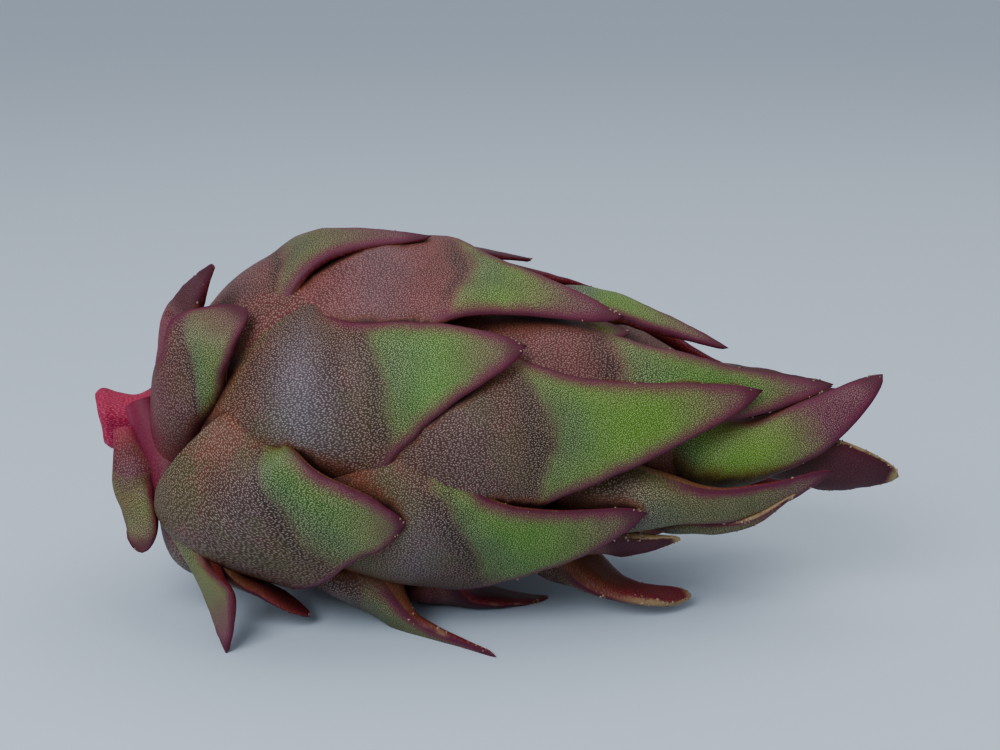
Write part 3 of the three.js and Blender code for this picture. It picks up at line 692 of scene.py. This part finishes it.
def makePeel():
    look = peelLook
    peel = bpy.data.materials.new("peel")
    peel.use_nodes = True
    tree = peel.node_tree
    shader = tree.nodes["Principled BSDF"]
    across, growing, number = readMark(tree, "growth").parts()
    along, t, under = readMark(tree, "leaf").parts()
    green, flush, dry = readMark(tree, "tone").parts()
    sideGap, tipGap, _ = readMark(tree, "edgeDistance").parts()
    start, breadth, bloomAndSheen = readMark(tree, "start").parts()
    shelter = readMark(tree, "shelter").parts()[0]
    where = Arrow(tree, tree.nodes.new("ShaderNodeTexCoord").outputs["Object"]).times(1 / mm)
    broad = noiseField(tree, where, 14)
    patchy = noiseField(tree, where, 4.5, 3)
    fine = noiseField(tree, where, 0.5, 2)
    inner = (1 - t * t).math("MAXIMUM", 0)

    # the dome: warm at its root and sides, greenish in patches, a violet tint on its crest that is
    # partly its wax bloom and partly a painted sheen
    warm = along.ease(0.04, 0.26, 0.8, 0) + (t * t) ** 2 * 0.5 + (patchy - 0.5) * 0.9 + (broad - 0.5) * 0.8
    base = mix(tree, look["dome"], look["domeWarm"], warm.ease(0, 1, shape="LINEAR"))
    greenish = (broad - patchy * 0.4).ease(0.2, 0.45) * (0.75 - flush).ease(0, 0.5)
    base = mix(tree, base, look["domeGreen"], greenish)
    base = mix(tree, base, look["flushed"], flush.ease(0.35, 1) * (0.3 + patchy))
    # painted sheen on the crest of the dome, partly its wax bloom
    crestBloomAndSheen = along.bell(look["crestAt"], look["crestLength"]) * inner ** 2 * bloomAndSheen * (0.45 + broad)
    base = mix(tree, base, look["bloomAndSheen"], crestBloomAndSheen * 0.65)

    # the leaf: a dark valley of painted shade, a teal rim that is partly its own colour and partly a
    # painted highlight, then green that turns olive towards its margins and tip
    pastStart = along - start + (broad - 0.5) * 0.1 + t * t * 0.06 + (patchy - 0.5) * 0.05
    leafShare = pastStart.ease(-0.03, 0.12)
    # painted shade in the valley behind the dome
    valleyShade = pastStart.bell(-look["valleyLength"], look["valleyLength"])
    base = mix(tree, base, look["valleyShade"], valleyShade * inner * 0.75)
    hue = mix(tree, look["green"], look["vivid"], green.ease(0.6, 1, shape="LINEAR"))
    edgeward = (sideGap + (broad - 0.5) * 5).ease(*look["oliveFromSide"], 0.75, 0)
    tipward = (tipGap + (broad - 0.5) * 8).ease(*look["oliveFromTip"], 1, 0)
    hue = mix(tree, hue, look["olive"], edgeward.math("MAXIMUM", tipward) * 0.8
              + (0.75 - green).ease(0, 0.5) * 0.5 + (patchy - 0.5) * 0.3)
    hue = mix(tree, look["dome"], hue, green.ease(0, 0.6, shape="LINEAR"))
    base = mix(tree, base, hue, leafShare)
    # painted highlight on the teal rim, partly the skin's own teal
    tealAndHighlight = pastStart.ease(-0.02, 0.04) * pastStart.ease(0.05, 0.2, 1, 0) * (0.3 + green * 0.5) * inner
    base = mix(tree, base, look["tealAndHighlight"], tealAndHighlight)

    # the leaf turns mauve towards its tip and purple at its margins
    ragged = (patchy - 0.5) * 1.6 + (fine - 0.5) * 1.2
    isBlade = along.ease(0.34, 0.5)
    marginReach = (breadth * look["marginShare"]).math("MINIMUM", look["widestMargin"])
    mauve = (tipGap + ragged * 3).ease(3, flush * 10 + 18, 0.9, 0) * isBlade * (0.4 + flush)
    margin = (sideGap + ragged).ease(0.2, marginReach, 1, 0) * isBlade
    base = mix(tree, base, look["mauve"], mauve)
    base = mix(tree, base, look["margin"], margin * 0.9)

    # speckles follow the way the scale grows, finer and closer on the leaf
    drift = (noiseField(tree, where, 6) - 0.5) * 0.9
    long = dashes(tree, across + drift + number * 13.7, growing + number * 5.1, look["longDash"])
    short = dashes(tree, across + number * 7.3, growing + drift + number * 3.3, look["shortDash"])
    onLeaf = pastStart.ease(-0.02, 0.03)
    speckle = long * (1 - onLeaf) + short * onLeaf
    speckle = speckle * (0.45 + patchy * 0.6) * sideGap.ease(0.2, 2.2, 0.35, 1)
    speckleHue = mix(tree, look["speckle"], look["leafSpeckle"], onLeaf * green.ease(0, 0.8))
    # on the crest the speckles are painted pale lilac, partly the wax bloom and partly a painted highlight
    speckleHue = mix(tree, speckleHue, look["bloomAndSheenSpeckle"], crestBloomAndSheen)
    speckleHue = mix(tree, speckleHue, look["flushSpeckle"],
                     (flush.ease(0.35, 0.8) * (1 - onLeaf) * 0.8).math("MAXIMUM", mauve))
    base = mix(tree, base, speckleHue, speckle * (0.78 + onLeaf * 0.07) * (1 - margin * 0.6))

    # the very edge and tip are dark, leaves without green wine-red, and sheltered skin is painted
    # orange-brown, partly its own colour and partly painted shade, and deeper in painted dark red shade
    darkEdge = (sideGap + ragged * 0.3).ease(*look["darkFromSide"], 1, 0) * isBlade * 0.75
    base = mix(tree, base, look["tip"], darkEdge)
    base = mix(tree, base, look["tip"], (tipGap + ragged).ease(*look["darkFromTip"], 0.85, 0))
    base = mix(tree, base, look["wine"], green.ease(0.1, 0.25, 1, 0) * flush * leafShare * 0.8)
    # painted shade in creases: orange-brown, partly the skin's own colour where it gets little sun
    grooveTintAndShade = (shelter + (patchy - 0.5) * 0.25).ease(*look["grooveShelter"])
    base = mix(tree, base, look["grooveTintAndShade"], grooveTintAndShade * 0.58)
    # painted shade, dark red, deepest where neighbouring scales close in
    shade = (shelter + (broad - 0.5) * 0.3).ease(*look["shadeShelter"])
    base = mix(tree, base, look["shade"], shade * 0.92)

    # the inner face of a leaf is olive-brown near its root and dark red further out, and a root
    # that stands open is painted dark as shade, so that it reads as a shadowed gap
    redder = along.ease(0.4, 0.8) + flush * 1.2 - 0.3 + (broad - 0.5) * 0.8
    inside = mix(tree, look["insideWarm"], look["inside"], redder.ease(0, 1, shape="LINEAR"))
    inside = mix(tree, inside, look["flushSpeckle"], short * 0.22)
    base = mix(tree, base, inside, under * 0.9)
    # painted shade on the cut root ends
    openRootShade = along.ease(0.0005, 0.002, 1, 0)
    base = mix(tree, base, look["shade"], openRootShade)

    # crimson near the stem, pale dots on the knob, and dry brown at worn tips and margins
    stemGap = (where - joinParts(tree, *look["stemPlace"])).length()
    crimson = (stemGap + (patchy - 0.5) * 3 + (broad - 0.5) * 5).ease(*look["crimsonReach"], 1, 0)
    stemFlush = (stemGap + (patchy - 0.5) * 8 + (broad - 0.5) * 16).ease(*look["stemFlushReach"], 1, 0)
    stemFlush = stemFlush * along.ease(0.45, 0.65, 1, 0) * flush.ease(0, 0.6)
    base = mix(tree, base, look["stemFlush"], stemFlush * 0.9)
    base = mix(tree, base, look["crimson"], crimson * 0.9)
    dots = dashes(tree, across + number, growing, look["knobDot"])
    isKnob = number.math("LESS_THAN", 0.5 * (fleshNumber + knobNumber))
    base = mix(tree, base, look["knobDots"], dots * crimson * isKnob * 0.4)
    rim = (sideGap + ragged * 0.5).ease(0.1, 0.5, 1, 0) * along.ease(0.55, 0.75)
    rim = rim * (patchy + dry).ease(0.8, 1.1)
    worn = ((tipGap + ragged).ease(0.8, 2.6, 1, 0) * dry.ease(0.3, 0.6)).math("MAXIMUM", rim)
    base = mix(tree, base, look["dry"], worn * 0.9)

    tree.links.new(base.socket, shader.inputs["Base Color"])
    tree.links.new((look["roughness"] + (fine - 0.5) * 0.2 + worn * 0.3 - speckle * 0.04).socket,
                   shader.inputs["Roughness"])
    shader.inputs["Specular IOR Level"].default_value = look["gloss"]
    shader.inputs["Coat Weight"].default_value = look["coat"]
    shader.inputs["Coat Roughness"].default_value = look["coatRoughness"]
    bump = tree.nodes.new("ShaderNodeBump")
    bump.inputs["Strength"].default_value = look["bump"]
    bump.inputs["Distance"].default_value = look["bumpDepth"] * mm
    tree.links.new((speckle + fine * 0.8 + worn * patchy * 3).socket, bump.inputs["Height"])
    tree.links.new(bump.outputs[0], shader.inputs["Normal"])
    return peel


groundSize = 0.4
sharpAngle = 40


def boolean(piece, operation, **operand):
    modifier = piece.modifiers.new("fuse", "BOOLEAN")
    modifier.operation = operation
    modifier.solver = "MANIFOLD"
    for name, value in operand.items():
        setattr(modifier, name, value)
    mesh = evaluatedMesh(piece)
    piece.modifiers.remove(modifier)
    piece.data = mesh


def cutLevel(piece):
    # cuts off what would reach below the surface that the fruit lies on
    ground = addObject("ground", bpy.data.meshes.new("ground"))
    work = bmesh.new()
    bmesh.ops.create_cube(work, size=groundSize)
    bmesh.ops.translate(work, verts=work.verts, vec=(0, 0, -groundSize / 2))
    work.to_mesh(ground.data)
    work.free()
    boolean(piece, "DIFFERENCE", object=ground)
    bpy.data.objects.remove(ground)


def keepOuterSurface(mesh):
    # pockets closed in between scales are dropped
    work = bmesh.new()
    work.from_mesh(mesh)
    seen = set()
    shells = []
    for face in work.faces:
        if face in seen:
            continue
        shell = [face]
        seen.add(face)
        for one in shell:
            for edge in one.edges:
                for other in edge.link_faces:
                    if other not in seen:
                        seen.add(other)
                        shell.append(other)
        shells.append(shell)
    shells.sort(key=len)
    bmesh.ops.delete(work, geom=[f for shell in shells[:-1] for f in shell], context="FACES")
    work.to_mesh(mesh)
    work.free()


def centreOverOrigin(mesh):
    # moves the mesh to stand over the origin, and returns how far it went
    spans = [[v.co[axis] for v in mesh.vertices] for axis in range(3)]
    shift = Vector([-(min(span) + max(span)) / 2 for span in spans])
    shift.z = -min(spans[2])
    for vertex in mesh.vertices:
        vertex.co += shift
    return shift


shelterRays = {"count": 20, "reach": 9, "lowest": 0.15, "lift": 0.05, "farShare": 0.5}


def markShelter(mesh):
    # how far neighbouring scales cover each spot: 0 open, 1 closed in; the peel paints shade by it
    skin = BVHTree.FromPolygons([v.co for v in mesh.vertices], [p.vertices for p in mesh.polygons])
    count = shelterRays["count"]
    reach = shelterRays["reach"] * mm
    golden = math.pi * (3 - math.sqrt(5))
    rays = []
    for i in range(count):
        up = shelterRays["lowest"] + (1 - shelterRays["lowest"]) * (i + 0.5) / count
        flat = math.sqrt(1 - up * up)
        rays.append((flat * math.cos(golden * i), flat * math.sin(golden * i), up))
    mark = mesh.attributes.new("shelter", "FLOAT_VECTOR", "POINT")
    values = []
    for vertex in mesh.vertices:
        normal = vertex.normal
        side = normal.orthogonal().normalized()
        other = normal.cross(side)
        start = vertex.co + normal * shelterRays["lift"] * mm
        covered = 0
        for x, y, z in rays:
            hit, _, _, distance = skin.ray_cast(start, side * x + other * y + normal * z, reach)
            if hit is not None:
                covered += 1 - shelterRays["farShare"] * distance / reach
        values += (covered / count, 0, 0)
    mark.data.foreach_set("vector", values)


crumbs = {"perSquareMillimetre": 4, "size": 0.2, "smallest": 0.5, "largest": 1.7, "margin": 0.55,
          "tipReach": 9, "clumpScale": 400, "seed": 11, "light": "98826a", "dark": "5c4630",
          "roughness": 0.85}


def storedMark(tree, name):
    node = tree.nodes.new("GeometryNodeInputNamedAttribute")
    node.data_type = "FLOAT_VECTOR"
    node.inputs["Name"].default_value = name
    return Arrow(tree, node.outputs["Attribute"]).parts()


def makeCrumbTree():
    # dry brown crumbs along the margins of leaves, most on dry ones and near their tips
    tree = bpy.data.node_groups.new("dryCrumbs", "GeometryNodeTree")
    tree.interface.new_socket(name="Crumbs", in_out="OUTPUT", socket_type="NodeSocketGeometry")
    names = ("Amount", "Size", "Margin", "Tip Reach")
    addInputs(tree, "Geometry", "Peel")
    addInputs(tree, "Float", *names)
    addInputs(tree, "Int", "Seed")
    addInputs(tree, "Material", "Crumb")
    given = tree.nodes.new("NodeGroupInput").outputs
    amount, size, margin, tipReach = [Field(tree, given[name]) for name in names]

    sideGap, tipGap, _ = storedMark(tree, "edgeDistance")
    dry = storedMark(tree, "tone")[2]
    along = storedMark(tree, "leaf")[0]
    clumps = tree.nodes.new("ShaderNodeTexNoise")
    clumps.inputs["Scale"].default_value = crumbs["clumpScale"]
    nearTip = (tipGap / tipReach).ease(0, 1, 1, 0)
    share = sideGap.math("LESS_THAN", margin) * along.math("GREATER_THAN", 0.55)
    share = share * (nearTip * 0.25 + dry * 0.7) * Field(tree, clumps.outputs[0]).ease(0.45, 0.65)
    scatter = tree.nodes.new("GeometryNodeDistributePointsOnFaces")
    tree.links.new(given["Peel"], scatter.inputs["Mesh"])
    tree.links.new((share * amount * mm ** -2).socket, scatter.inputs["Density"])
    tree.links.new(given["Seed"], scatter.inputs["Seed"])
    crumb = tree.nodes.new("GeometryNodeMeshIcoSphere")
    crumb.inputs["Subdivisions"].default_value = 1
    tree.links.new((size * mm).socket, crumb.inputs["Radius"])
    place = tree.nodes.new("GeometryNodeInstanceOnPoints")
    tree.links.new(scatter.outputs["Points"], place.inputs["Points"])
    tree.links.new(crumb.outputs["Mesh"], place.inputs["Instance"])
    for socket, low, high in (("Rotation", 0, 6.28), ("Scale", crumbs["smallest"], crumbs["largest"])):
        chance = tree.nodes.new("FunctionNodeRandomValue")
        chance.data_type = "FLOAT_VECTOR"
        chance.inputs["Min"].default_value = (low,) * 3
        chance.inputs["Max"].default_value = (high,) * 3
        tree.links.new(given["Seed"], chance.inputs["Seed"])
        tree.links.new(chance.outputs["Value"], place.inputs[socket])
    finishTree(tree, place.outputs[0], given["Crumb"])
    return tree


def makeCrumbLook():
    look = bpy.data.materials.new("dryCrumb")
    look.use_nodes = True
    tree = look.node_tree
    shader = tree.nodes["Principled BSDF"]
    where = Arrow(tree, tree.nodes.new("ShaderNodeTexCoord").outputs["Object"]).times(1 / mm)
    tan = mix(tree, crumbs["dark"], crumbs["light"], noiseField(tree, where, 0.8).ease(0.35, 0.6))
    tree.links.new(tan.socket, shader.inputs["Base Color"])
    shader.inputs["Roughness"].default_value = crumbs["roughness"]
    return look


def makeCrumbs(peelMesh):
    holder = addObject("crumbHolder", peelMesh.copy())
    modifier = holder.modifiers.new("dryCrumbs", "NODES")
    modifier.node_group = makeCrumbTree()
    setInputs(modifier, {"Amount": float(crumbs["perSquareMillimetre"]), "Size": crumbs["size"],
                         "Margin": crumbs["margin"], "Tip Reach": float(crumbs["tipReach"]),
                         "Seed": crumbs["seed"], "Crumb": makeCrumbLook()})
    mesh = evaluatedMesh(holder)
    bpy.data.objects.remove(holder)
    return addObject("dryCrumbs", mesh)


print("growing scales")
peel = makePeel()
scaleTree = makeScaleTree()
forms = stemWhorl + broadWhorl + middleWhorl + slenderWhorl + tipWhorl
scales = bpy.data.collections.new("scales")
bpy.context.scene.collection.children.link(scales)
for number, form in enumerate(forms):
    addObject("scale", makeScaleMesh(scaleTree, number, form, peel), scales)
addObject("knob", makeKnob(), scales)

print("fusing them to the flesh")
fruit = addObject("dragonFruit", makeFlesh())
boolean(fruit, "UNION", operand_type="COLLECTION", collection=scales)
for piece in list(scales.objects):
    bpy.data.objects.remove(piece)
cutLevel(fruit)
keepOuterSurface(fruit.data)
shift = centreOverOrigin(fruit.data)
fruit.data.set_sharp_from_angle(angle=math.radians(sharpAngle))
print("peel", len(fruit.data.polygons), "faces")
markShelter(fruit.data)
fruit.data.materials.clear()
fruit.data.materials.append(peel)
fruit.data.polygons.foreach_set("material_index", [0] * len(fruit.data.polygons))
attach(fruit, "root")
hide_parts("dragon_fruit")

print("dry crumbs")
dryCrumbs = makeCrumbs(fruit.data)
print("crumbs", len(dryCrumbs.data.polygons), "faces")
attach(dryCrumbs, "root")

print("lighting")
# places and sizes in metres, the camera's lens and sensor in millimetres, power in watts
studio = {"floor": (0.55, 0.65, 0.76, 1), "floorSize": 6, "floorRoughness": 0.6,
          "sky": (0.8, 0.85, 0.95, 1), "skyStrength": 0.6, "lightAim": (0, 0, 0.04),
          "lights": (("window", (-0.35, -0.6, 0.6), 0.5, 6.5, (0.93, 0.96, 1)),
                     ("ceiling", (0.25, 0.15, 0.9), 0.8, 3, (1, 0.97, 0.93))),
          "cameraPlace": (0.00125, -0.33951, 0.13767), "cameraTilt": 75, "lens": 61.2,
          "sensor": 36, "nearest": 0.01}
bpy.ops.mesh.primitive_plane_add(size=studio["floorSize"])
floor = bpy.context.object
floor.name = "floor"
floorLook = bpy.data.materials.new("floor")
floorLook.use_nodes = True
floorShader = floorLook.node_tree.nodes["Principled BSDF"]
floorShader.inputs["Base Color"].default_value = studio["floor"]
floorShader.inputs["Roughness"].default_value = studio["floorRoughness"]
floor.data.materials.append(floorLook)

world = bpy.context.scene.world or bpy.data.worlds.new("world")
bpy.context.scene.world = world
world.use_nodes = True
background = world.node_tree.nodes["Background"]
background.inputs["Color"].default_value = studio["sky"]
background.inputs["Strength"].default_value = studio["skyStrength"]

for name, place, size, power, tint in studio["lights"]:
    light = addObject(name, bpy.data.lights.new(name, "AREA"))
    light.data.size = size
    light.data.energy = power
    light.data.color = tint
    light.location = place
    aim = Vector(studio["lightAim"]) - light.location
    light.rotation_euler = aim.to_track_quat("-Z", "Y").to_euler()

camera = addObject("camera", bpy.data.cameras.new("camera"))
camera.location = Vector(studio["cameraPlace"]) + Vector((shift.x, shift.y, 0))
camera.rotation_euler = (math.radians(studio["cameraTilt"]), 0, 0)
camera.data.sensor_width = studio["sensor"]
camera.data.lens = studio["lens"]
camera.data.clip_start = studio["nearest"]
bpy.context.scene.camera = camera

print("done")
